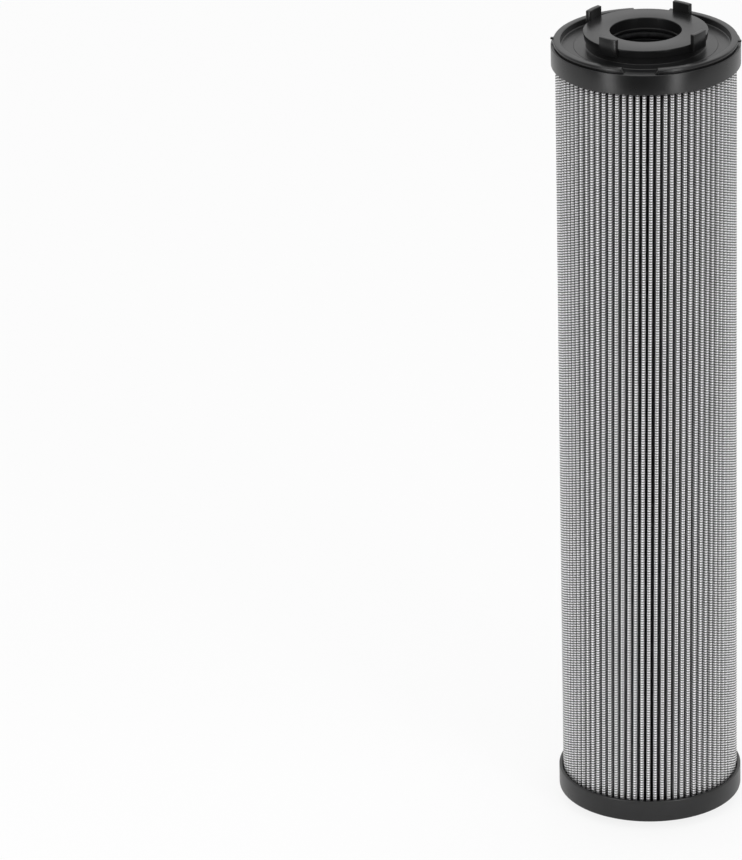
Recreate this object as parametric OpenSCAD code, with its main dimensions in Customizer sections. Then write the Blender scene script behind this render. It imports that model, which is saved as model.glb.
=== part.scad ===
// Pleated return line filter element.
// Two moulded end caps hold a star-folded pack of wire mesh, fleece and glass fibre
// round a perforated tube. It stands on the round boss of its bottom cap, +Z up, and
// the origin is the centre of that boss's face. All sizes are in millimetres.

/* [Overall] */
// outside diameter of both end caps
cap_d = 70; // [66:0.5:80]
// height from the boss face to the top face of the hub
body_h = 312.5; // [220:0.5:400]
// wall thickness of the cap skirts
skirt_wall = 1.3; // [1:0.1:2]
// gap between the folds and the inside of a skirt
skirt_gap = 0.15; // [0.1:0.05:0.5]

/* [Top end cap] */
// height of the top cap's skirt
top_skirt_h = 7.7; // [5:0.1:12]
// height of the hub's face above the skirt's ledge
hub_rise = 5.2; // [4:0.1:7]
// hub diameter
hub_d = 46.2; // [42:0.2:50]
// height of the upright band on the hub's side
hub_band_h = 2.9; // [2:0.1:3.5]
// how far the hub is set in under its band
hub_set_in = 0.6; // [0.3:0.1:1]
// diameter of the small step in the floor
floor_step_d = 53.2; // [50:0.2:56]
// height of the small step in the floor
floor_step_h = 0.15; // [0.1:0.05:0.3]
// depth of the floor below the skirt's ledge
floor_drop = 0.7; // [0.3:0.1:1.2]
// height of the raised rim above the ledge
rim_h = 1.8; // [1.2:0.1:3]
// width of the ledge outside the rim
rim_set_in = 0.9; // [0.6:0.1:1.5]
// radial width of the raised rim
rim_w = 2.7; // [2:0.1:3.5]
// height of the undercut at the rim's foot
undercut_h = 0.5; // [0.3:0.05:0.7]
// diameter of the wider mouth of the top bore
top_mouth_d = 26.4; // [26:0.1:28]
// depth of the wider mouth of the top bore
top_mouth_depth = 4.1; // [2:0.1:4.5]
// diameter of the top bore
top_bore_d = 25.2; // [24:0.1:25.8]

/* [Rim notches and nubs] */
// direction of the first notch, counted from +X
notch_dir = 266; // [0:1:359]
// width of a notch at the rim's top
notch_top_w = 13.6; // [8:0.2:18]
// width of a notch at the ledge
notch_base_w = 10.8; // [6:0.2:16]
// how far a nub stands out past the rim
nub_out = 1.15; // [0.9:0.05:1.3]
// width of a nub
nub_w = 2; // [1:0.1:4]
// height of a nub
nub_h = 0.7; // [0.4:0.1:1]

/* [Hub tabs] */
// number of upright tabs
tab_count = 4; // [2:1:6]
// direction of the first tab, counted from +X
tab_dir = 54.8; // [0:0.2:90]
// arc that a tab covers, in degrees
tab_arc = 18.2; // [10:0.2:24]
// tab thickness
tab_t = 1.5; // [1:0.1:2]
// height of the tabs above the hub's face
tab_h = 3.7; // [2:0.1:6]

/* [Bottom end cap] */
// height of the bottom cap's skirt
cup_h = 8.7; // [6:0.1:12]
// boss diameter
boss_d = 50.6; // [46:0.2:56]
// boss height
boss_h = 3.6; // [3:0.1:6]
// rounding of the cap's lower outer edge
edge_r = 0.8; // [0.4:0.1:1.5]
// diameter of the wider mouth of the bottom bore
bottom_mouth_d = 29; // [28:0.1:31]
// depth of the wider mouth of the bottom bore
bottom_mouth_depth = 1.2; // [0.8:0.1:1.5]
// diameter of the bottom bore
bottom_bore_d = 27.4; // [26.6:0.1:27.8]

/* [Cap plates] */
// thickness of the bottom cap's plate
plate_t = 3; // [2.5:0.1:3.5]
// thickness left between the top seal ring's groove and the inside of the cap
groove_web = 0.5; // [0.4:0.1:1]
// height of the collar that centres the tube
collar_h = 6; // [4:0.5:10]
// wall thickness of the collar
collar_wall = 1.6; // [1.2:0.1:2]
// thickness of the adhesive under the folds
glue_t = 2.2; // [1.5:0.1:3]

/* [Seal rings] */
// section diameter of a seal ring
seal_section = 3; // [2.4:0.1:3.2]
// gap left round a seal ring in its groove
seal_gap = 0.1; // [0.05:0.05:0.15]
// thickness of the lip in front of a seal ring
seal_lip = 1; // [0.8:0.1:1.2]
// height of the bore's wall behind a seal ring
seal_back = 2; // [1.5:0.1:2.5]
// chamfer at the mouth of a bore
mouth_chamfer = 0.4; // [0.2:0.1:0.6]

/* [Perforated tube] */
// tube outside diameter
tube_d = 36.8; // [36.4:0.2:38]
// tube wall thickness
tube_t = 0.8; // [0.6:0.1:0.9]
// gap between the tube and a cap's collar
tube_gap = 0.2; // [0.1:0.05:0.3]
// diameter of the holes in the tube
hole_d = 5; // [3:0.5:6]
// holes round the tube in one row
hole_cols = 8; // [6:2:10]
// rows of holes
hole_rows = 22; // [12:1:26]

/* [Folded pack] */
// number of folds
fold_count = 80; // [64:1:82]
// gap between the folds and the tube
root_gap = 0.3; // [0.2:0.05:0.6]
// thickness of the outer wire mesh
outer_mesh_t = 0.18; // [0.14:0.01:0.2]
// thickness of the fleece
fleece_t = 0.1; // [0.08:0.01:0.12]
// thickness of the glass fibre layer
media_t = 0.16; // [0.12:0.01:0.18]
// thickness of the backing fleece
backing_t = 0.08; // [0.06:0.01:0.1]
// thickness of the inner wire mesh
inner_mesh_t = 0.1; // [0.08:0.01:0.12]
// free half width inside a crest
crest_gap = 0.15; // [0.1:0.01:0.2]
// fold whose outer valley holds the side seam
seam_fold = 21; // [0:1:63]

/* [Hidden] */
$fn = 96;
eps = 0.01;

cap_r = cap_d / 2;
skirt_in_r = cap_r - skirt_wall;
collar_r = tube_d / 2 - tube_t - tube_gap;

// seal grooves
groove_h = seal_section + 2 * seal_gap;
seal_depth = seal_lip + groove_h / 2;

// heights, from the boss face up
face_z = boss_h;
cup_floor_z = boss_h + plate_t;
cup_top_z = boss_h + cup_h;
ledge_z = body_h - hub_rise;
floor_z = ledge_z - floor_drop;
rim_z = ledge_z + rim_h;
ceiling_z = body_h - top_mouth_depth - seal_lip - groove_h - groove_web;
skirt_end_z = ledge_z - top_skirt_h;
pack_low_z = cup_floor_z + glue_t;
pack_high_z = ceiling_z - glue_t;

// small edge breaks and steps
edge_break = 0.15;
band_taper = 0.4;
notch_z = ledge_z + 0.1;

// hub's band, narrower at its foot, and the neck under it
hub_r = hub_d / 2;
band_foot_r = hub_r - band_taper;
band_foot_z = body_h - hub_band_h;
neck_r = band_foot_r - hub_set_in;
neck_fillet = 0.5;

// raised rim
rim_out_r = cap_r - rim_set_in;
rim_in_r = rim_out_r - rim_w;

// fold section
fold_step = 360 / fold_count;
pack_t = outer_mesh_t + fleece_t + media_t + backing_t + inner_mesh_t;
crest_r = pack_t + crest_gap;
pack_out_r = skirt_in_r - skirt_gap;
pack_in_r = tube_d / 2 + root_gap;
crest_axis_r = pack_out_r - crest_r;
valley_r = PI * pack_in_r / fold_count - pack_t;
root_axis_r = pack_in_r + pack_t + valley_r;
crest_sides = 6;
root_sides = 4;
depth_1 = outer_mesh_t;
depth_2 = depth_1 + fleece_t;
depth_3 = depth_2 + media_t;
depth_4 = depth_3 + backing_t;

function at(r, a) = [r * cos(a), r * sin(a)];

// turn from a crest's direction to the normal of the leg beside it: the leg is the
// line that touches the crest circle on one side and the next root circle on the other
leg_run = at(root_axis_r, fold_step / 2) - [crest_axis_r, 0];
leg_turn = atan2(leg_run[1], leg_run[0]) - acos((crest_r + valley_r) / norm(leg_run));

// one fold of the surface that lies d inside the pack's outer face
function one_fold(a, d) =
    let (
        crest = at(crest_axis_r, a),
        root = at(root_axis_r, a + fold_step / 2),
        root_turn = leg_turn - fold_step / 2
    )
    concat(
        [for (i = [0:crest_sides])
            crest + at(crest_r - d, a - leg_turn + 2 * leg_turn * i / crest_sides)],
        [for (i = [0:root_sides])
            root + at(valley_r + d, a + leg_turn + 180 - 2 * root_turn * i / root_sides)]
    );

function fold_line(d) = [for (k = [0:fold_count - 1]) each one_fold(k * fold_step, d)];

// a folded sheet whose two faces lie at depths d0 and d1
module folded_sheet(d0, d1) {
    outer = fold_line(d0);
    inner = fold_line(d1);
    n = len(outer);
    translate([0, 0, pack_low_z])
    linear_extrude(pack_high_z - pack_low_z)
    polygon(
        concat(outer, inner),
        [[for (i = [0:n - 1]) i], [for (i = [0:n - 1]) n + i]]
    );
}

// space for a spigot: drawn from a face at z = 0 into the cap, up to depth end
module spigot_bore(mouth_d, mouth_depth, bore_d, end) {
    groove_z = mouth_depth + seal_lip;
    back_z = groove_z + groove_h + seal_back;
    translate([0, 0, -1])
    cylinder(h = mouth_depth + 1, d = mouth_d);
    translate([0, 0, -mouth_chamfer])
    cylinder(h = 2 * mouth_chamfer, r1 = mouth_d / 2 + 2 * mouth_chamfer, r2 = mouth_d / 2);
    translate([0, 0, mouth_depth - eps])
    cylinder(h = back_z - mouth_depth + 2 * eps, d = bore_d);
    translate([0, 0, groove_z])
    cylinder(h = groove_h, r = bore_d / 2 + seal_section + seal_gap);
    translate([0, 0, back_z])
    cylinder(h = end - back_z + 1, r = collar_r - collar_wall);
}

// section of the top cap without its bore
module top_section() {
    step_r = floor_step_d / 2;
    step_z = floor_z + floor_step_h;
    polygon(concat(
        [
            [0, skirt_end_z - 100],
            [0, body_h],
            [hub_r - edge_break, body_h],
            [hub_r, body_h - edge_break],
            [band_foot_r, band_foot_z],
            [neck_r, band_foot_z]
        ],
        [for (i = [0:4])
            [neck_r + neck_fillet, step_z + neck_fillet] + at(neck_fillet, 180 + i * 22.5)],
        [
            [step_r, step_z],
            [step_r, floor_z],
            [rim_in_r - 0.4, floor_z],
            [rim_in_r, floor_z + 0.4],
            [rim_in_r, rim_z - 0.2],
            [rim_in_r + 0.2, rim_z],
            [rim_out_r - 0.4, rim_z],
            [rim_out_r - 0.1, rim_z - 0.15],
            [rim_out_r, rim_z - 0.4],
            [rim_out_r, ledge_z + undercut_h],
            [rim_out_r - 0.5, ledge_z + undercut_h],
            [rim_out_r - 0.5, ledge_z],
            [cap_r - 0.2, ledge_z],
            [cap_r, ledge_z - 0.2],
            [cap_r, skirt_end_z],
            [skirt_in_r, skirt_end_z],
            [skirt_in_r, ceiling_z],
            [collar_r, ceiling_z],
            [collar_r, ceiling_z - collar_h + 0.5],
            [collar_r - 0.5, ceiling_z - collar_h],
            [0, ceiling_z - collar_h]
        ]
    ));
}

// a wedge that cuts the rim down to the ledge, narrower at its foot
module rim_notch() {
    rotate([90, 0, 90])
    linear_extrude(cap_r + 5)
    polygon([
        [-notch_base_w / 2, notch_z],
        [notch_base_w / 2, notch_z],
        [notch_top_w / 2, rim_z],
        [notch_top_w / 2, rim_z + 1],
        [-notch_top_w / 2, rim_z + 1],
        [-notch_top_w / 2, rim_z]
    ]);
}

// a small nub on the rim, with sloping sides
module rim_nub() {
    translate([0, 0, rim_z - nub_h - edge_break])
    linear_extrude(nub_h)
    polygon([
        [rim_out_r - 1, -nub_w / 2],
        [rim_out_r, -nub_w / 2],
        [rim_out_r + nub_out, -nub_w / 5],
        [rim_out_r + nub_out, nub_w / 5],
        [rim_out_r, nub_w / 2],
        [rim_out_r - 1, nub_w / 2]
    ]);
}

// an upright tab outside the hub's band, as low as the band
module hub_tab() {
    tab_in_r = hub_r - 2 * edge_break;
    tab_out_r = hub_r + tab_t;
    tab_top_z = body_h + tab_h;
    tab_foot_z = band_foot_z + eps;
    rotate([0, 0, -tab_arc / 2])
    rotate_extrude(angle = tab_arc)
    polygon([
        [band_foot_r - edge_break, tab_foot_z],
        [tab_out_r - 0.3, tab_foot_z],
        [tab_out_r, tab_foot_z + 0.3],
        [tab_out_r, tab_top_z - 0.3],
        [tab_out_r - 0.3, tab_top_z],
        [tab_in_r + 0.2, tab_top_z],
        [tab_in_r, tab_top_z - 0.2],
        [tab_in_r, body_h - 2 * edge_break]
    ]);
}

module top_end_cap() {
    color([0.2, 0.2, 0.21])
    difference() {
        union() {
            difference() {
                intersection() {
                    rotate_extrude()
                    top_section();
                    translate([0, 0, ceiling_z - collar_h])
                    cylinder(h = body_h, r = cap_r + 1);
                }
                for (k = [0:1])
                rotate([0, 0, notch_dir + 180 * k])
                difference() {
                    rim_notch();
                    cylinder(h = body_h + 10, r = rim_in_r - 0.6);
                }
            }
            for (k = [0:1])
            rotate([0, 0, notch_dir + 90 + 180 * k])
            rim_nub();
            for (k = [0:tab_count - 1])
            rotate([0, 0, tab_dir + 360 * k / tab_count])
            hub_tab();
        }
        translate([0, 0, body_h])
        mirror([0, 0, 1])
        spigot_bore(top_mouth_d, top_mouth_depth, top_bore_d, body_h - ceiling_z + collar_h);
    }
}

// section of the bottom cap without its bore
module bottom_section() {
    boss_r = boss_d / 2;
    polygon(concat(
        [
            [0, 0],
            [boss_r - 0.4, 0],
            [boss_r, 0.4],
            [boss_r, face_z - 0.5],
            [boss_r + 0.8, face_z - 0.5],
            [boss_r + 0.8, face_z],
            [cap_r - edge_r, face_z]
        ],
        [for (i = [1:4])
            [cap_r - edge_r, face_z + edge_r] + at(edge_r, -90 + i * 22.5)],
        [
            [cap_r, cup_top_z - 0.4],
            [cap_r - 0.4, cup_top_z],
            [skirt_in_r + 0.2, cup_top_z],
            [skirt_in_r, cup_top_z - 0.2],
            [skirt_in_r, cup_floor_z],
            [collar_r, cup_floor_z],
            [collar_r, cup_floor_z + collar_h - 0.5],
            [collar_r - 0.5, cup_floor_z + collar_h],
            [0, cup_floor_z + collar_h]
        ]
    ));
}

module bottom_end_cap() {
    color([0.22, 0.22, 0.23])
    difference() {
        rotate_extrude()
        bottom_section();
        spigot_bore(
            bottom_mouth_d, bottom_mouth_depth, bottom_bore_d, cup_floor_z + collar_h
        );
    }
}

// a round rubber ring that just clears a spigot of the bore's size
module seal_ring(bore_d, z) {
    color([0.05, 0.05, 0.05])
    translate([0, 0, z])
    rotate_extrude()
    translate([bore_d / 2 + seal_gap / 2 + seal_section / 2, 0])
    circle(d = seal_section);
}

module top_seal_ring() {
    seal_ring(top_bore_d, body_h - top_mouth_depth - seal_depth);
}

module bottom_seal_ring() {
    seal_ring(bottom_bore_d, bottom_mouth_depth + seal_depth);
}

// thin tube with staggered rows of round holes
module perforated_tube() {
    tube_r = tube_d / 2;
    first_z = cup_floor_z + collar_h + hole_d;
    last_z = ceiling_z - collar_h - hole_d;
    row_step = (last_z - first_z) / (hole_rows - 1);
    hole_step = 360 / hole_cols;
    color([0.55, 0.56, 0.58])
    difference() {
        difference() {
            translate([0, 0, cup_floor_z])
            cylinder(h = ceiling_z - cup_floor_z, r = tube_r);
            translate([0, 0, cup_floor_z - 1])
            cylinder(h = ceiling_z - cup_floor_z + 2, r = tube_r - tube_t);
        }
        for (row = [0:hole_rows - 1])
        for (col = [0:hole_cols - 1])
        rotate([0, 0, (col + 0.25 + (row % 2) / 2) * hole_step])
        translate([tube_r - tube_t - 1.5, 0, first_z + row * row_step])
        rotate([0, 90, 0])
        cylinder(h = tube_t + 3, d = hole_d, $fn = 32);
    }
}

module outer_wire_mesh() {
    color([0.72, 0.72, 0.73])
    folded_sheet(0, depth_1);
}

module cover_fleece() {
    color([0.85, 0.85, 0.82])
    folded_sheet(depth_1, depth_2);
}

module glass_fibre_layer() {
    color([0.93, 0.92, 0.88])
    folded_sheet(depth_2, depth_3);
}

module backing_fleece() {
    color([0.84, 0.84, 0.8])
    folded_sheet(depth_3, depth_4);
}

module inner_wire_mesh() {
    color([0.7, 0.7, 0.71])
    folded_sheet(depth_4, pack_t);
}

// bead of adhesive that fills one valley, where the sheet's two ends meet
module side_seam() {
    a = seam_fold * fold_step;
    mid = a + fold_step / 2;
    n = a + leg_turn;
    crest_end = at(crest_axis_r, a) + at(crest_r, n);
    root_end = at(root_axis_r, mid) - at(valley_r, n);
    near = crest_end + (root_end - crest_end) * 0.97;
    far = crest_end + (root_end - crest_end) * 0.12;
    flip = function(p) let (r = norm(p), t = atan2(p[1], p[0])) at(r, 2 * mid - t);
    color([0.16, 0.16, 0.15])
    translate([0, 0, pack_low_z])
    linear_extrude(pack_high_z - pack_low_z)
    polygon([near, far, flip(far), flip(near)]);
}

// flat ring of adhesive between a cap's plate and the ends of the folds
module adhesive(z) {
    color([0.13, 0.13, 0.12])
    translate([0, 0, z])
    difference() {
        cylinder(h = glue_t, r = skirt_in_r - 0.05);
        translate([0, 0, -1])
        cylinder(h = glue_t + 2, r = tube_d / 2 + 0.05);
    }
}

module top_adhesive() {
    adhesive(pack_high_z);
}

module bottom_adhesive() {
    adhesive(cup_floor_z);
}

top_end_cap();
bottom_end_cap();
top_seal_ring();
bottom_seal_ring();
perforated_tube();
outer_wire_mesh();
cover_fleece();
glass_fibre_layer();
backing_fleece();
inner_wire_mesh();
side_seam();
top_adhesive();
bottom_adhesive();
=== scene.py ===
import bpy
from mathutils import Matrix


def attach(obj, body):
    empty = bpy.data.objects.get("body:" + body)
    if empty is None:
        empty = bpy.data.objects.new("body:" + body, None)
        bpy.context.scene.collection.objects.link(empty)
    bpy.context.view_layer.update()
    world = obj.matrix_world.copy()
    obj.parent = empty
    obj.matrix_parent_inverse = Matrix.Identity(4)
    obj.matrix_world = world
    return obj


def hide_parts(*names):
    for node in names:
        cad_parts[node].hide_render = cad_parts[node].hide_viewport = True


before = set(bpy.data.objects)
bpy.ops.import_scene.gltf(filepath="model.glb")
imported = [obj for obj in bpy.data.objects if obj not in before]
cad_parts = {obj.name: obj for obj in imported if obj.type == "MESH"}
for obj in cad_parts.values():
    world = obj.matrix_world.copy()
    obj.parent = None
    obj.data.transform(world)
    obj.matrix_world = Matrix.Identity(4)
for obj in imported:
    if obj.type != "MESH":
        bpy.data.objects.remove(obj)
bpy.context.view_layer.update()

import math

import bmesh
import bpy
import numpy as np
from mathutils import Vector

# A pleated return line filter element. The CAD model gives every place and size, and this
# file gives the looks. Lengths are in millimetres and become metres when a mesh is made,
# apart from the studio's and the camera's places, which are in metres. Heights count up
# from the boss's face under the bottom cap.
MM = 0.001
RANDOM = np.random.default_rng(70)

# Both end caps
CAP_R = 35.0
SKIRT_IN_R = CAP_R - 1.3
BODY_H = 312.5
COLLAR_R = 17.4
COLLAR_IN_R = COLLAR_R - 1.6
COLLAR_H = 6.0
GROOVE_H = 3.2
GROOVE_DEPTH = 3.1
SEAL_LIP = 1.0
SEAL_BACK = 2.0

# Top cap: skirt, rim and floor
LEDGE_Z = BODY_H - 5.2
SKIRT_END_Z = LEDGE_Z - 7.7
RIM_Z = LEDGE_Z + 1.8
RIM_OUT_R = CAP_R - 0.9
RIM_IN_R = RIM_OUT_R - 2.7
UNDERCUT_R = RIM_OUT_R - 0.5
UNDERCUT_Z = LEDGE_Z + 0.5
FLOOR_Z = LEDGE_Z - 0.7
FLOOR_STEP_R = 26.6
FLOOR_STEP_Z = FLOOR_Z + 0.15

# Top cap: hub and bore
HUB_R = 23.1
BAND_FOOT_R = HUB_R - 0.4
BAND_FOOT_Z = BODY_H - 2.9
NECK_R = BAND_FOOT_R - 0.6
TOP_BORE_R = 12.6
TOP_MOUTH_R = 13.2
TOP_MOUTH_Z = BODY_H - 4.1
TOP_GROOVE_Z = TOP_MOUTH_Z - SEAL_LIP
TOP_GROOVE_FOOT_Z = TOP_GROOVE_Z - GROOVE_H
TOP_BORE_FOOT_Z = TOP_GROOVE_FOOT_Z - SEAL_BACK
CEILING_Z = TOP_GROOVE_FOOT_Z - 0.5

# Rim notches: half widths along the rim's middle, at the rim's top and at the ledge
NOTCH_DIR = 266.0
NOTCH_ARC_R = 33.0
NOTCH_TOP_HALF = 6.8
NOTCH_BASE_HALF = 5.4

# Rim nubs and hub tabs
NUB_COUNT = 2
NUB_DIR = 176.0
NUB_IN_R = RIM_OUT_R - 0.9
NUB_OUT_R = CAP_R + 0.19
NUB_LOW_Z = RIM_Z - 0.85
NUB_HIGH_Z = RIM_Z - 0.15
NUB_HALF = 0.7
TAB_COUNT = 4
TAB_DIR = 54.8
TAB_ARC = 18.2
TAB_IN_R = HUB_R - 0.45
TAB_OUT_R = HUB_R + 1.5
TAB_FOOT_Z = BAND_FOOT_Z + 0.01
TAB_TOP_Z = BODY_H + 3.7
TAB_HALF = math.radians(TAB_ARC / 2) * (HUB_R + 0.6)

# Bottom cap
BOSS_R = 25.3
FACE_Z = 3.6
FACE_STEP_R = BOSS_R + 0.8
FACE_STEP_Z = FACE_Z - 0.5
CUP_FLOOR_Z = FACE_Z + 3.0
CUP_TOP_Z = FACE_Z + 8.7
BOTTOM_BORE_R = 13.7
BOTTOM_MOUTH_R = 14.5
BOTTOM_MOUTH_Z = 1.2
BOTTOM_GROOVE_Z = BOTTOM_MOUTH_Z + SEAL_LIP
BOTTOM_GROOVE_TOP_Z = BOTTOM_GROOVE_Z + GROOVE_H
BOTTOM_BORE_TOP_Z = BOTTOM_GROOVE_TOP_Z + SEAL_BACK

# Folded pack: each sheet's node, slot and thickness, from the outside in
LAYERS = (
    ("outer_wire_mesh", "mesh_steel", 0.18),
    ("cover_fleece", "fleece", 0.10),
    ("glass_fibre_layer", "glass_fibre", 0.16),
    ("backing_fleece", "fleece", 0.08),
    ("inner_wire_mesh", "mesh_steel", 0.10),
)
FOLDS = 80
PACK_LOW_Z = CUP_FLOOR_Z + 2.2
PACK_HIGH_Z = CEILING_Z - 2.2
PACK_OUT_R = SKIRT_IN_R - 0.15
PACK_IN_R = 18.7
PACK_T = sum(thickness for _, _, thickness in LAYERS)
CREST_R = PACK_T + 0.06
VALLEY_R = math.pi * PACK_IN_R / FOLDS - PACK_T
CREST_AXIS_R = PACK_OUT_R - CREST_R
ROOT_AXIS_R = PACK_IN_R + PACK_T + VALLEY_R
LEAN_DEG = 4.7
FIRST_CREST_DEG = 268.9
SEAM_FOLD = 41

# Camera, as fitted to the photo: a place in metres, a turn about X, Y and Z in degrees, and
# a focal length in pixels of a picture that is 860 high
CAMERA_PLACE = (0.0, -2.11962, 1.07671)
CAMERA_TURN_DEG = (66.462686, 1.335024, 2.247982)
FOCAL_PX = 6113.1
PICTURE_HIGH_PX = 860.0
SENSOR_MM = 36.0


# Mesh making

class Skin:
    """Grid patches that together make one closed mesh. Its UV map counts the grid's steps,
    or holds the u and v that are given, which are millimetres on the folded sheets."""

    def __init__(self):
        self.points, self.faces, self.uvs, self.count = [], [], [], 0

    def grid(self, points, close_u=False, close_v=False, flip=False, u=None, v=None):
        """Joins point (i, j) to (i+1, j), (i+1, j+1) and (i, j+1); a closed side goes round."""
        nu, nv = points.shape[:2]
        i, j = np.meshgrid(
            np.arange(nu if close_u else nu - 1),
            np.arange(nv if close_v else nv - 1),
            indexing="ij",
        )
        corners_i = np.stack([i, i + 1, i + 1, i], -1).reshape(-1, 4)
        corners_j = np.stack([j, j, j + 1, j + 1], -1).reshape(-1, 4)
        u = np.arange(nu + 1.0) if u is None else np.asarray(u, float)
        v = np.arange(nv + 1.0) if v is None else np.asarray(v, float)
        quads = (corners_i % nu) * nv + corners_j % nv + self.count
        uv = np.stack([u[corners_i], v[corners_j]], -1)
        if flip:
            quads, uv = quads[:, [0, 3, 2, 1]], uv[:, [0, 3, 2, 1]]
        self.points.append(points.reshape(-1, 3))
        self.faces.append(quads)
        self.uvs.append(uv.reshape(-1, 2))
        self.count += nu * nv
        return self

    def make(self, name, material, crease_deg=35.0, merge=True):
        """Puts the patches into one object that rides on the body. Points of neighbouring
        patches that meet become one, and edges sharper than crease_deg stay crisp."""
        points = np.concatenate(self.points) * MM
        quads = np.concatenate(self.faces)
        mesh = bpy.data.meshes.new(name)
        mesh.vertices.add(len(points))
        mesh.vertices.foreach_set("co", points.ravel())
        mesh.loops.add(quads.size)
        mesh.loops.foreach_set("vertex_index", quads.ravel())
        mesh.polygons.add(len(quads))
        mesh.polygons.foreach_set("loop_start", np.arange(0, quads.size, 4))
        layer = mesh.uv_layers.new(name="sheet")
        layer.data.foreach_set("uv", np.concatenate(self.uvs).ravel())
        mesh.update(calc_edges=True)
        if merge:
            work = bmesh.new()
            work.from_mesh(mesh)
            bmesh.ops.remove_doubles(work, verts=work.verts, dist=1e-6)
            work.to_mesh(mesh)
            work.free()
        mesh.shade_smooth()
        if crease_deg:
            mesh.set_sharp_from_angle(angle=math.radians(crease_deg))
        mesh.materials.append(material)
        piece = bpy.data.objects.new(name, mesh)
        bpy.context.scene.collection.objects.link(piece)
        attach(piece, "root")
        return piece


def polar(r, degrees):
    """The point at distance r from the axis, in the direction degrees from +X."""
    turn = np.radians(degrees)
    return np.stack([r * np.cos(turn), r * np.sin(turn)], -1)


def rounded(corners, steps=4):
    """Rounds a closed outline of (r, z, corner radius) points: between the tangent points A
    and B each corner follows (1-s)^2 A + 2s(1-s) P + s^2 B, with P the corner itself."""
    data = np.asarray(corners, float)
    p, radius = data[:, :2], data[:, 2:3]
    back, ahead = np.roll(p, 1, 0) - p, np.roll(p, -1, 0) - p
    back_len = np.linalg.norm(back, axis=1, keepdims=True)
    ahead_len = np.linalg.norm(ahead, axis=1, keepdims=True)
    back, ahead = back / back_len, ahead / ahead_len
    half = np.arccos(np.clip((back * ahead).sum(1, keepdims=True), -1, 1)) / 2
    reach = np.minimum(radius / np.tan(half), 0.45 * np.minimum(back_len, ahead_len))
    a, b = (p + back * reach)[:, None], (p + ahead * reach)[:, None]
    s = np.linspace(0, 1, steps)[None, :, None]
    line = ((1 - s) ** 2 * a + 2 * s * (1 - s) * p[:, None] + s ** 2 * b).reshape(-1, 2)
    keep = np.linalg.norm(line - np.roll(line, 1, 0), axis=1) > 1e-5
    return line[keep]


def turned(outline, azimuths, shape=None):
    """Carries a closed outline of (r, z) round the axis; shape(r, z, azimuth) may move it."""
    r, a = np.meshgrid(outline[:, 0], azimuths, indexing="ij")
    z = np.broadcast_to(outline[:, 1:2], r.shape)
    if shape:
        r, z = shape(r, z, a)
    return np.concatenate([polar(r, a), z[..., None]], -1)


def arc_block(r0, r1, z0, z1, middle, half_mm, radius, steps=4, along=10):
    """A block with rounded edges, bent round the axis: every direction on a ball of the
    edge radius is pushed out to the corner on its own side of the block."""
    quarter = np.linspace(0, 90, steps)
    turn = np.radians(np.concatenate([quarter, 90 + quarter, 180 + quarter, 270 + quarter]))
    side_y = np.repeat([1, -1, -1, 1], steps)
    side_z = np.repeat([1, 1, -1, -1], steps)
    tilt = np.radians(np.concatenate([np.linspace(-90, 0, steps), np.linspace(0, 90, steps)]))
    size_x, size_y, size_z = half_mm - radius, (r1 - r0) / 2 - radius, (z1 - z0) / 2 - radius
    end_x = np.concatenate([
        radius * np.sin(tilt[:steps]) - size_x,
        np.linspace(-size_x, size_x, along)[1:-1],
        radius * np.sin(tilt[steps:]) + size_x,
    ])
    girth = np.concatenate([np.cos(tilt[:steps]), np.ones(along - 2), np.cos(tilt[steps:])])
    y = side_y[:, None] * size_y + radius * np.cos(turn)[:, None] * girth
    z = side_z[:, None] * size_z + radius * np.sin(turn)[:, None] * girth
    r = (r0 + r1) / 2 + y
    a = middle + np.degrees(np.broadcast_to(end_x, y.shape) / ((r0 + r1) / 2))
    sides = np.concatenate([polar(r, a), ((z0 + z1) / 2 + z)[..., None]], -1)
    corners = sides[::steps]
    skin = Skin().grid(sides, close_u=True, flip=True)
    for end, flip in ((0, True), (-1, False)):
        skin.grid(corners[[0, 1, 3, 2], end].reshape(2, 2, 3), flip=flip)
    return skin


# Materials

class Val:
    """A socket of a node tree; sums and products of values add Math nodes."""

    def __init__(self, tree, socket):
        self.tree, self.socket = tree, socket

    def math(self, operation, *others):
        """Adds a Math node on this value and the others."""
        values = dict(enumerate((self, *others)))
        node = self.tree.node("ShaderNodeMath", {"operation": operation}, values)
        return Val(self.tree, node.outputs[0])

    def __add__(self, other):
        return self.math("ADD", other)

    def __sub__(self, other):
        return self.math("SUBTRACT", other)

    def __rsub__(self, other):
        return self * -1 + other

    def __mul__(self, other):
        return self.math("MULTIPLY", other)

    def __truediv__(self, other):
        return self.math("DIVIDE", other)

    def __pow__(self, other):
        return self.math("POWER", other)

    __radd__ = __add__
    __rmul__ = __mul__

    def step(self, low, high):
        """0 below low, 1 above high and smooth between them."""
        node = self.tree.node(
            "ShaderNodeMapRange", {"interpolation_type": "SMOOTHSTEP"},
            {"Value": self, "From Min": low, "From Max": high},
        )
        return Val(self.tree, node.outputs["Result"])


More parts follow.
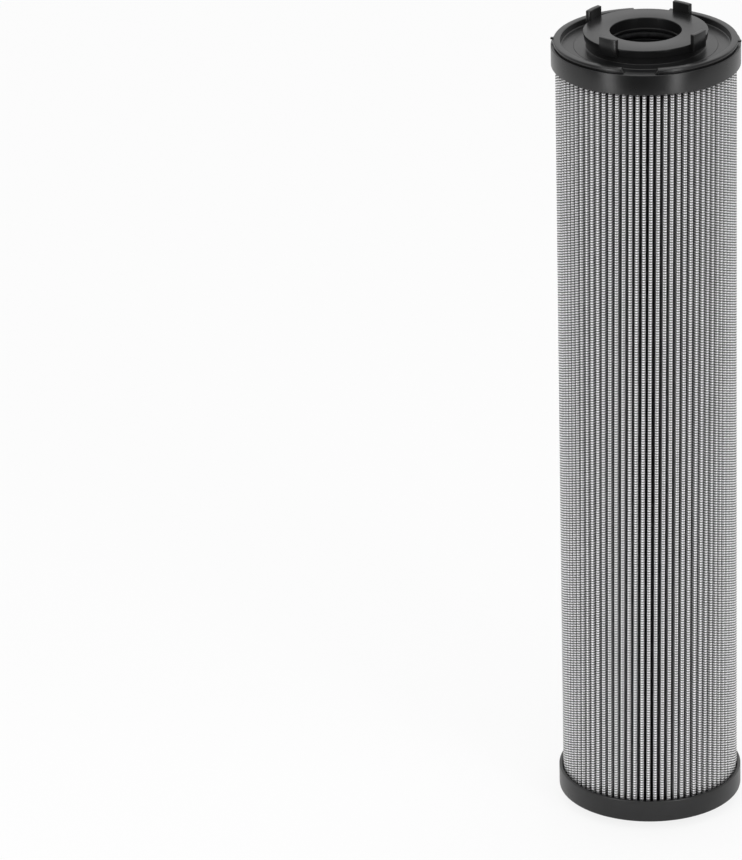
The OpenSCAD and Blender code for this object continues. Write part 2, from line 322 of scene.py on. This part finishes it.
class Tree:
    """A node tree that nodes are added to."""

    def __init__(self, tree):
        self.tree = tree

    def node(self, kind, settings=None, values=None):
        made = self.tree.nodes.new(kind)
        for key, value in (settings or {}).items():
            setattr(made, key, value)
        for key, value in (values or {}).items():
            self.feed(made.inputs[key], value)
        return made

    def feed(self, socket, value):
        if isinstance(value, Val):
            self.tree.links.new(value.socket, socket)
        elif isinstance(value, bpy.types.NodeSocket):
            self.tree.links.new(value, socket)
        else:
            socket.default_value = value

    def val(self, socket):
        return Val(self, socket)

    def place(self):
        """The point on the object, in millimetres."""
        where = self.node("ShaderNodeTexCoord").outputs["Object"]
        values = {0: where, "Scale": 1 / MM}
        return self.node("ShaderNodeVectorMath", {"operation": "SCALE"}, values).outputs[0]

    def parts(self, vector):
        split = self.node("ShaderNodeSeparateXYZ", None, {0: vector})
        return [Val(self, out) for out in split.outputs]

    def noise(self, vector, scale, detail=2.0, rough=0.5, stretch=None):
        if stretch:
            vector = self.node(
                "ShaderNodeMapping", None, {"Vector": vector, "Scale": stretch}
            ).outputs[0]
        made = self.node(
            "ShaderNodeTexNoise", None,
            {"Vector": vector, "Scale": scale, "Detail": detail, "Roughness": rough},
        )
        return Val(self, made.outputs[0])

    def mix(self, factor, low, high):
        made = self.node("ShaderNodeMix", {"data_type": "RGBA"}, {0: factor, 6: low, 7: high})
        return made.outputs[2]

    def bump(self, height, depth_mm, strength=1.0):
        values = {"Height": height, "Distance": depth_mm * MM, "Strength": strength}
        return self.node("ShaderNodeBump", None, values).outputs[0]


class Paint(Tree):
    """One material."""

    def __init__(self, name):
        self.material = bpy.data.materials.new(name)
        self.material.use_nodes = True
        super().__init__(self.material.node_tree)
        self.shader = self.tree.nodes["Principled BSDF"]

    def set(self, **sockets):
        for key, value in sockets.items():
            self.feed(self.shader.inputs[key.replace("_", " ")], value)
        return self.material


def rgb(r, g, b):
    return (r, g, b, 1.0)


def moulded_black(name):
    """Satin black moulding: faint flow clouds, fine grain, a few pale worn specks."""
    p = Paint(name)
    where = p.place()
    clouds = p.noise(where, 0.09, 3.0)
    grain = p.noise(where, 2.6, 3.0, 0.6)
    specks = p.noise(where, 1.1, 5.0, 0.7).step(0.68, 0.76)
    tone = p.mix(clouds.step(0.3, 0.7), rgb(0.0058, 0.0058, 0.006), rgb(0.0085, 0.0085, 0.0088))
    colour = p.mix(specks * 0.25, tone, rgb(0.05, 0.05, 0.05))
    roughness = 0.22 + clouds * 0.10 + grain * 0.06 + specks * 0.1
    return p.set(
        Base_Color=colour,
        Roughness=roughness,
        Normal=p.bump(grain * 0.7 + clouds * 2.0, 0.012, 0.5),
    )


def woven_wire(name, warp=0.86, weft=1.03, wire_r=0.30, wave=0.4,
               knuckle_high=(0.20, 0.36), knuckle_wide=(0.28, 0.42)):
    """Plain woven wire cloth on the sheet's own UV map. Each wire is a flattened ridge,
    (1 - x^4)^(1/2) across, that rises over one crossing wire and dips under the next: by the
    full wave at the crossing and by 0 half way to the next. The higher ridge shows. Each
    crossing carries a painted highlight, wider than high, that nearly touches the next in its
    row; painted shade darkens these highlights deeper into the folds. Away from them each
    wire is dark, with a stain that varies at random, and the openings are painted near black."""
    p = Paint(name)
    uv = p.node("ShaderNodeUVMap", {"uv_map": "sheet"}).outputs[0]
    u, v, _ = p.parts(uv)
    across, along = u / warp, v / weft
    du = (across.math("FRACT") - 0.5).math("ABSOLUTE") * warp
    dv = (along.math("FRACT") - 0.5).math("ABSOLUTE") * weft
    warp_on = 1 - du.step(wire_r * 0.85, wire_r * 1.15)
    weft_on = 1 - dv.step(wire_r * 0.85, wire_r * 1.15)
    warp_round = (1 - (du / wire_r) ** 4.0).math("MAXIMUM", 0.0) ** 0.5
    weft_round = (1 - (dv / wire_r) ** 4.0).math("MAXIMUM", 0.0) ** 0.5
    odd = (across.math("FLOOR") + along.math("FLOOR")).math("MODULO", 2.0).math("ABSOLUTE")
    over = odd * 2 - 1
    warp_h = warp_on * (0.5 + 0.5 * warp_round + over * (wave - dv * (2 * wave / weft)))
    weft_h = weft_on * (0.5 + 0.5 * weft_round - over * (wave - du * (2 * wave / warp)))
    height = warp_h.math("MAXIMUM", weft_h)
    metal = warp_on.math("MAXIMUM", weft_on)
    in_row = 1 - dv.step(*knuckle_high)
    in_column = 1 - du.step(*knuckle_wide)
    # Painted highlight: a bright spot on every crossing stands for light glinting where the wire
    # bulges; odd gives over and under crossings slightly different strengths.
    painted_glint = metal * in_row * (0.3 + 0.7 * in_column) * (0.88 + 0.12 * odd)
    where = p.place()
    x, y, _ = p.parts(where)
    # Painted shade: the painted highlights fall from 0.98 to 0.35 deeper into the folds, away from
    # the crests, where the folds shade them.
    painted_fold_shade = ((x * x + y * y) ** 0.5).step(CREST_AXIS_R - 1.6, CREST_AXIS_R + 0.4)
    stain = p.noise(where, 0.15, 3.0)
    dull = p.mix(stain.step(0.3, 0.7), rgb(0.05, 0.05, 0.052), rgb(0.09, 0.09, 0.092))
    bright = p.mix(painted_fold_shade, rgb(0.35, 0.35, 0.355), rgb(0.98, 0.98, 0.985))
    wire = p.mix(painted_glint, dull, bright)
    # Painted shade: the openings between the wires are near black (0.012), standing for the fleece
    # behind the wires in shade.
    return p.set(
        Base_Color=p.mix(metal, rgb(0.012, 0.012, 0.012), wire),
        Metallic=0.1,
        Roughness=0.5,
        Normal=p.bump(height, 0.08, 0.5),
    )


def steel_sheet(name):
    """Dull zinc plated sheet with fine rolling lines along the tube."""
    p = Paint(name)
    where = p.place()
    spangle = p.noise(where, 0.35, 2.0)
    lines = p.noise(where, 1.6, 2.0, 0.5, (1.0, 1.0, 0.05))
    return p.set(
        Base_Color=p.mix(spangle.step(0.35, 0.65), rgb(0.42, 0.43, 0.45), rgb(0.58, 0.59, 0.61)),
        Metallic=0.9,
        Roughness=0.32 + spangle * 0.12 + lines * 0.12,
        Normal=p.bump(lines, 0.02, 0.6),
    )


def fibre(name, pale, dark):
    """Matted fibres: long thin noise in two directions."""
    p = Paint(name)
    where = p.place()
    upright = p.noise(where, 3.0, 3.0, 0.6, (1.0, 1.0, 0.2))
    lying = p.noise(where, 3.0, 3.0, 0.6, (0.2, 0.2, 1.0))
    hair = upright * 0.5 + lying * 0.5
    return p.set(
        Base_Color=p.mix(hair.step(0.35, 0.65), dark, pale),
        Roughness=0.95,
        Normal=p.bump(hair, 0.05, 0.7),
    )


def rubber(name):
    """Smooth black rubber with a faint bloom."""
    p = Paint(name)
    where = p.place()
    bloom = p.noise(where, 0.5, 3.0)
    return p.set(
        Base_Color=p.mix(bloom.step(0.3, 0.8), rgb(0.006, 0.006, 0.006), rgb(0.02, 0.02, 0.021)),
        Roughness=0.55 + bloom * 0.2,
        Specular_IOR_Level=0.2,
        Normal=p.bump(p.noise(where, 4.0, 2.0), 0.01, 0.4),
    )


def cured_adhesive(name):
    """Dark poured adhesive, glossy with shallow ripples and small pits."""
    p = Paint(name)
    where = p.place()
    ripple = p.noise(where, 0.25, 2.0)
    pits = p.noise(where, 1.8, 3.0).step(0.62, 0.7)
    return p.set(
        Base_Color=p.mix(ripple.step(0.3, 0.7), rgb(0.012, 0.012, 0.011), rgb(0.03, 0.029, 0.026)),
        Roughness=0.22 + ripple * 0.15,
        Normal=p.bump(ripple * 3.0 - pits, 0.15, 0.6),
    )


cap_black = moulded_black("cap_black")
mesh_wire = woven_wire("mesh_wire")
tube_zinc = steel_sheet("tube_zinc")
white_fleece = fibre("white_fleece", rgb(0.80, 0.80, 0.78), rgb(0.60, 0.60, 0.57))
glass_paper = fibre("glass_paper", rgb(0.86, 0.85, 0.80), rgb(0.72, 0.71, 0.66))
seal_black = rubber("seal_black")
potting = cured_adhesive("potting")
slot_paint = {"mesh_steel": mesh_wire, "fleece": white_fleece, "glass_fibre": glass_paper}


# Folded pack

def slow_wave(count, z, size, waves=3):
    """For each of count folds a smooth wave along z: a sum of sines with random phases."""
    wave = np.arange(1, waves + 1)[:, None, None]
    phase = RANDOM.uniform(0, 2 * math.pi, (waves, count, 1))
    weight = RANDOM.normal(0, 1, (waves, count, 1)) / wave
    run = (z - PACK_LOW_Z) / (PACK_HIGH_Z - PACK_LOW_Z) * math.pi
    return size * (weight * np.sin(wave * run[None, None, :] + phase)).sum(0)


# Per fold and height, the crest's direction, which leans and wanders a little, and how far
# the crest is set back from the pack's outer radius
HEIGHTS = np.linspace(PACK_LOW_Z, PACK_HIGH_Z, 49)
spacing = RANDOM.normal(0, 0.22, FOLDS)
spacing = (np.roll(spacing, 1) + 2 * spacing + np.roll(spacing, -1)) / 4
crest_deg = (
    FIRST_CREST_DEG
    + np.arange(FOLDS)[:, None] * 360 / FOLDS
    + spacing[:, None]
    + LEAN_DEG * (HEIGHTS[None, :] - PACK_LOW_Z) / (PACK_HIGH_Z - PACK_LOW_Z)
    + slow_wave(FOLDS, HEIGHTS, 0.10)
)
crest_set_back = np.abs(slow_wave(FOLDS, HEIGHTS, 0.05))
crest_set_back = crest_set_back + np.abs(RANDOM.normal(0, 0.10, (FOLDS, 1)))


def fold_rows(rows):
    """Centres and leg directions of all folds at the chosen heights. A leg is the line that
    touches the crest circle on one side and the next root circle on the other."""
    crest_a = crest_deg[:, rows]
    next_a = np.concatenate([crest_a[1:], crest_a[:1] + 360])
    root_a = (crest_a + next_a) / 2
    crest = polar(CREST_AXIS_R - crest_set_back[:, rows], crest_a)
    root = polar(ROOT_AXIS_R, root_a)

    def leg(root_centre, side):
        run = root_centre - crest
        length = np.linalg.norm(run, axis=-1)
        angle = np.degrees(np.arctan2(run[..., 1], run[..., 0]))
        angle = angle - side * np.degrees(np.arccos((CREST_R + VALLEY_R) / length))
        return (angle - crest_a + 180) % 360 - 180 + crest_a

    right = leg(root, 1)
    last_root = np.concatenate([root[-1:], root[:-1]])
    left = leg(last_root, -1)
    next_left = np.concatenate([left[1:], left[:1] + 360])
    return crest, root, left, right, next_left


def fold_surface(depth, rows, crest_steps, root_steps):
    """The folded surface at a depth inside the pack's outer face: per fold an arc round the
    crest's centre, then an arc round the root's centre, joined by straight legs."""
    crest, root, left, right, next_left = fold_rows(rows)
    s = np.linspace(0, 1, crest_steps)[None, :, None]
    crest_turn = left[:, None] + (right - left)[:, None] * s
    crest_arc = crest[:, None] + polar(CREST_R - depth, crest_turn)
    s = np.linspace(0, 1, root_steps)[None, :, None]
    root_turn = 180 + right[:, None] + (next_left - right)[:, None] * s
    root_arc = root[:, None] + polar(VALLEY_R + depth, root_turn)
    line = np.concatenate([crest_arc, root_arc], 1).reshape(-1, len(HEIGHTS[rows]), 2)
    z = np.broadcast_to(HEIGHTS[rows], line.shape[:2])
    return np.concatenate([line, z[..., None]], -1)


def sheet_piece(name, depth_0, depth_1, rows, material, crest_steps, root_steps):
    """A closed folded sheet: up its outer face, over the end, down its inner face and back."""
    outer = fold_surface(depth_0, rows, crest_steps, root_steps)
    inner = fold_surface(depth_1, rows, crest_steps, root_steps)
    closed = np.concatenate([outer, outer[:1]])
    run = np.linalg.norm(np.diff(closed[:, len(rows) // 2], axis=0), axis=-1)
    u = np.concatenate([[0], np.cumsum(run)])
    z = HEIGHTS[rows]
    skin = Skin().grid(
        np.concatenate([outer, inner[:, ::-1]], 1), close_u=True, close_v=True,
        u=u, v=np.concatenate([z, z[::-1], z[:1]]),
    )
    return skin.make(name, material, crease_deg=None, merge=False)


def seam_piece(name, material, across=9, overlap=0.05, face_share=0.12, base_share=0.97,
               sink=0.35, sink_wave=0.2):
    """The bead of adhesive in one valley. Its section lies between the right leg of one fold
    and the left leg of the next, from face_share to base_share of the way in from crest to
    root, and goes a little into both. The outer face sinks as 4t(1-t) from leg to leg, by a
    depth that a slow wave changes along z."""
    crest, root, _, right, next_left = fold_rows(all_rows)
    after = (SEAM_FOLD + 1) % FOLDS
    root, sides = root[SEAM_FOLD], (right[SEAM_FOLD], next_left[SEAM_FOLD])
    tops = [
        centre + polar(CREST_R - overlap, side)
        for centre, side in zip((crest[SEAM_FOLD], crest[after]), sides)
    ]
    feet = [root - polar(VALLEY_R + overlap, side) for side in sides]
    base = [top + (foot - top) * base_share for top, foot in zip(tops, feet)]
    face = [top + (foot - top) * face_share for top, foot in zip(tops, feet)]
    t = np.linspace(0, 1, across)[:, None, None]
    wave = slow_wave(1, HEIGHTS, 1.0, 6)[0][None, :, None]
    inward = -root / np.linalg.norm(root, axis=-1, keepdims=True)
    face = face[0] + (face[1] - face[0]) * t + inward * 4 * t * (1 - t) * (sink + sink_wave * wave)
    base = base[0] + (base[1] - base[0]) * t
    z = np.broadcast_to(HEIGHTS[:, None], (across, len(HEIGHTS), 1))
    face, base = np.concatenate([face, z], -1), np.concatenate([base, z], -1)
    skin = Skin().grid(np.concatenate([face, base[::-1]]), close_u=True)
    for end, flip in ((0, True), (-1, False)):
        skin.grid(np.stack([face[:, end], base[:, end]], 1), flip=flip)
    return skin.make(name, material)


all_rows = np.arange(len(HEIGHTS))
depth = 0.0
for layer, slot, thickness in LAYERS:
    if layer == "outer_wire_mesh":
        rows, crest_steps, root_steps = all_rows, 7, 4
    else:
        rows, crest_steps, root_steps = all_rows[::3], 5, 3
    piece = sheet_piece(
        "folded_" + layer, depth, depth + thickness, rows, slot_paint[slot],
        crest_steps, root_steps,
    )
    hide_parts(layer)
    depth += thickness

seam = seam_piece("seam_bead", potting)
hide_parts("side_seam")


# End caps

top_outline = rounded([
    (COLLAR_IN_R, CEILING_Z - COLLAR_H, 0.2),
    (COLLAR_IN_R, TOP_BORE_FOOT_Z, 0.05),
    (TOP_BORE_R, TOP_BORE_FOOT_Z, 0.2),
    (TOP_BORE_R, TOP_GROOVE_FOOT_Z, 0.05),
    (TOP_BORE_R + GROOVE_DEPTH, TOP_GROOVE_FOOT_Z, 0.05),
    (TOP_BORE_R + GROOVE_DEPTH, TOP_GROOVE_Z, 0.05),
    (TOP_BORE_R, TOP_GROOVE_Z, 0.05),
    (TOP_BORE_R, TOP_MOUTH_Z, 0.15),
    (TOP_MOUTH_R, TOP_MOUTH_Z, 0.05),
    (TOP_MOUTH_R, BODY_H, 0.35),
    (HUB_R, BODY_H, 0.3),
    (BAND_FOOT_R, BAND_FOOT_Z, 0.15),
    (NECK_R, BAND_FOOT_Z, 0.1),
    (NECK_R, FLOOR_STEP_Z, 0.2),
    (FLOOR_STEP_R - 0.05, FLOOR_STEP_Z, 0.1),
    (FLOOR_STEP_R + 0.05, FLOOR_Z, 0.1),
    (RIM_IN_R, FLOOR_Z, 0.5),
    (RIM_IN_R, RIM_Z, 0.4),
    (RIM_OUT_R, RIM_Z, 1.1),
    (RIM_OUT_R, UNDERCUT_Z + 0.05, 0.15),
    (UNDERCUT_R, UNDERCUT_Z, 0.05),
    (UNDERCUT_R, LEDGE_Z, 0.05),
    (CAP_R, LEDGE_Z, 0.25),
    (CAP_R, SKIRT_END_Z, 0.15),
    (SKIRT_IN_R, SKIRT_END_Z, 0.1),
    (SKIRT_IN_R, CEILING_Z, 0.2),
    (COLLAR_R, CEILING_Z, 0.2),
    (COLLAR_R, CEILING_Z - COLLAR_H, 0.4),
])

# A ring of points every 0.75 degrees, and one on each side of a notch's bends
notch_edges = np.degrees(np.array([
    half + off for half in (NOTCH_BASE_HALF, NOTCH_TOP_HALF) for off in (-0.08, 0.08)
]) / NOTCH_ARC_R)
notch_turns = np.concatenate([
    centre + side * notch_edges for centre in (NOTCH_DIR - 180, NOTCH_DIR) for side in (1, -1)
])
round_turns = np.unique(np.concatenate([np.arange(0, 360, 0.75), notch_turns]) % 360)


def notch_rim(r, z, a):
    """Lowers the rim to the ledge at the notches, with straight sloping ends, and closes the
    undercut there by the same share."""
    off = np.radians(np.abs((a - NOTCH_DIR + 90) % 180 - 90)) * NOTCH_ARC_R
    left = (off - NOTCH_BASE_HALF) / (NOTCH_TOP_HALF - NOTCH_BASE_HALF)
    left = np.clip(left, 0.04, 1.0)
    on_rim = (r > RIM_IN_R - 0.4) & (r < RIM_OUT_R + 0.3) & (z > LEDGE_Z + 0.01)
    near_foot = (z > LEDGE_Z - 0.06) & (z < UNDERCUT_Z + 0.2)
    undercut = (r > UNDERCUT_R - 0.3) & (r < RIM_OUT_R - 0.05) & near_foot
    z = np.where(on_rim, LEDGE_Z + (z - LEDGE_Z) * left, z)
    r = np.where(undercut, RIM_OUT_R - (RIM_OUT_R - r) * left, r)
    return r, z


top_cap = Skin().grid(
    turned(top_outline, round_turns, notch_rim), close_u=True, close_v=True
).make("top_cap_moulding", cap_black)
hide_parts("top_end_cap")


def blocks_round(stem, count, first_dir, r0, r1, z0, z1, half_mm, radius):
    """Moulds the same rounded block count times, evenly round the axis."""
    for number in range(count):
        middle = first_dir + 360 / count * number
        block = arc_block(r0, r1, z0, z1, middle, half_mm, radius)
        piece = block.make(f"{stem}_{number + 1}", cap_black)


blocks_round(
    "hub_tab", TAB_COUNT, TAB_DIR, TAB_IN_R, TAB_OUT_R, TAB_FOOT_Z, TAB_TOP_Z, TAB_HALF, 0.3,
)
blocks_round(
    "rim_nub", NUB_COUNT, NUB_DIR, NUB_IN_R, NUB_OUT_R, NUB_LOW_Z, NUB_HIGH_Z, NUB_HALF, 0.25,
)

bottom_outline = rounded([
    (BOTTOM_MOUTH_R, 0, 0.35),
    (BOSS_R, 0, 0.5),
    (BOSS_R, FACE_STEP_Z, 0.1),
    (FACE_STEP_R, FACE_STEP_Z, 0.2),
    (FACE_STEP_R, FACE_Z, 0.1),
    (CAP_R, FACE_Z, 0.8),
    (CAP_R, CUP_TOP_Z, 0.4),
    (SKIRT_IN_R, CUP_TOP_Z, 0.2),
    (SKIRT_IN_R, CUP_FLOOR_Z, 0.2),
    (COLLAR_R, CUP_FLOOR_Z, 0.2),
    (COLLAR_R, CUP_FLOOR_Z + COLLAR_H, 0.4),
    (COLLAR_IN_R, CUP_FLOOR_Z + COLLAR_H, 0.2),
    (COLLAR_IN_R, BOTTOM_BORE_TOP_Z, 0.05),
    (BOTTOM_BORE_R, BOTTOM_BORE_TOP_Z, 0.2),
    (BOTTOM_BORE_R, BOTTOM_GROOVE_TOP_Z, 0.05),
    (BOTTOM_BORE_R + GROOVE_DEPTH, BOTTOM_GROOVE_TOP_Z, 0.05),
    (BOTTOM_BORE_R + GROOVE_DEPTH, BOTTOM_GROOVE_Z, 0.05),
    (BOTTOM_BORE_R, BOTTOM_GROOVE_Z, 0.05),
    (BOTTOM_BORE_R, BOTTOM_MOUTH_Z, 0.15),
    (BOTTOM_MOUTH_R, BOTTOM_MOUTH_Z, 0.05),
])
bottom_cap = Skin().grid(
    turned(bottom_outline, np.arange(0, 360, 1.0)), close_u=True, close_v=True, flip=True
).make("bottom_cap_moulding", cap_black)
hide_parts("bottom_end_cap")

for node, paint in (
    ("top_seal_ring", seal_black),
    ("bottom_seal_ring", seal_black),
    ("perforated_tube", tube_zinc),
    ("top_adhesive", potting),
    ("bottom_adhesive", potting),
):
    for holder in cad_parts[node].material_slots:
        holder.material = paint


# Studio

def floor_plane(name, left, right, front, back, material):
    """A flat floor at the height that the element stands on."""
    mesh = bpy.data.meshes.new(name)
    corners = [(left, front, 0), (right, front, 0), (right, back, 0), (left, back, 0)]
    mesh.from_pydata(corners, [], [(0, 1, 2, 3)])
    mesh.materials.append(material)
    made = bpy.data.objects.new(name, mesh)
    bpy.context.scene.collection.objects.link(made)


def lamp(name, place, aim, width, height, power):
    """A softbox that faces the point aim; the camera doesn't see it."""
    light = bpy.data.lights.new(name, "AREA")
    light.shape = "RECTANGLE"
    light.size = width
    light.size_y = height
    light.energy = power
    made = bpy.data.objects.new(name, light)
    made.location = place
    made.rotation_euler = (Vector(aim) - Vector(place)).to_track_quat("-Z", "Y").to_euler()
    made.visible_camera = False
    bpy.context.scene.collection.objects.link(made)


def floor_paint():
    """Pale floor: mostly its own white to the camera, so that the shadow stays faint."""
    p = Paint("studio_floor")
    p.set(Base_Color=rgb(0.8, 0.8, 0.8), Roughness=0.9)
    glow = p.node("ShaderNodeEmission", None, {"Color": rgb(1, 1, 1), "Strength": 1.0})
    seen = p.val(p.node("ShaderNodeLightPath").outputs["Is Camera Ray"])
    values = {0: seen * 0.85, 1: p.shader.outputs[0], 2: glow.outputs[0]}
    mixed = p.node("ShaderNodeMixShader", None, values)
    p.feed(p.tree.nodes["Material Output"].inputs["Surface"], mixed.outputs[0])
    return p.material


def studio_world():
    """White to the camera. To other rays a studio: white behind the object, dim in front of
    it and nearly dark below the table, with a wide soft box high in front and another
    overhead, each a smooth step of the ray's direction."""
    world = bpy.data.worlds.new("studio")
    bpy.context.scene.world = world
    world.use_nodes = True
    p = Tree(world.node_tree)
    ray = p.node("ShaderNodeTexCoord").outputs["Generated"]
    _, deep, up = p.parts(ray)
    walls = 0.05 + up.step(-0.05, 0.25) * (0.30 + 0.65 * deep.step(-0.1, 0.45))
    front_box = up.step(0.40, 0.55) * (deep * -1).step(0.15, 0.4)
    overhead_box = up.step(0.86, 0.96)
    room = walls + front_box * 1.35 + overhead_box * 0.5
    seen = p.val(p.node("ShaderNodeLightPath").outputs["Is Camera Ray"])
    p.feed(p.tree.nodes["Background"].inputs["Strength"], room + seen * (1 - room))
    p.feed(p.tree.nodes["Background"].inputs["Color"], rgb(1, 1, 1))


floor_plane("studio_floor", -2.5, 2.5, -0.5, 4.0, floor_paint())
studio_world()

lamp("left_strip", (-0.38, -0.40, 0.27), (0, 0, 0.27), 0.10, 0.52, 0.8)
lamp("right_strip", (0.32, -0.445, 0.27), (0, 0, 0.27), 0.10, 0.52, 0.8)


# Camera

camera_data = bpy.data.cameras.new("camera")
camera_data.sensor_fit = "VERTICAL"
camera_data.sensor_height = SENSOR_MM
camera_data.sensor_width = SENSOR_MM
camera_data.lens = FOCAL_PX * SENSOR_MM / PICTURE_HIGH_PX
camera_data.clip_end = 50.0
camera = bpy.data.objects.new("camera", camera_data)
camera.location = CAMERA_PLACE
camera.rotation_euler = [math.radians(turn) for turn in CAMERA_TURN_DEG]
bpy.context.scene.collection.objects.link(camera)
bpy.context.scene.camera = camera
bpy.context.scene.view_settings.view_transform = "Standard"
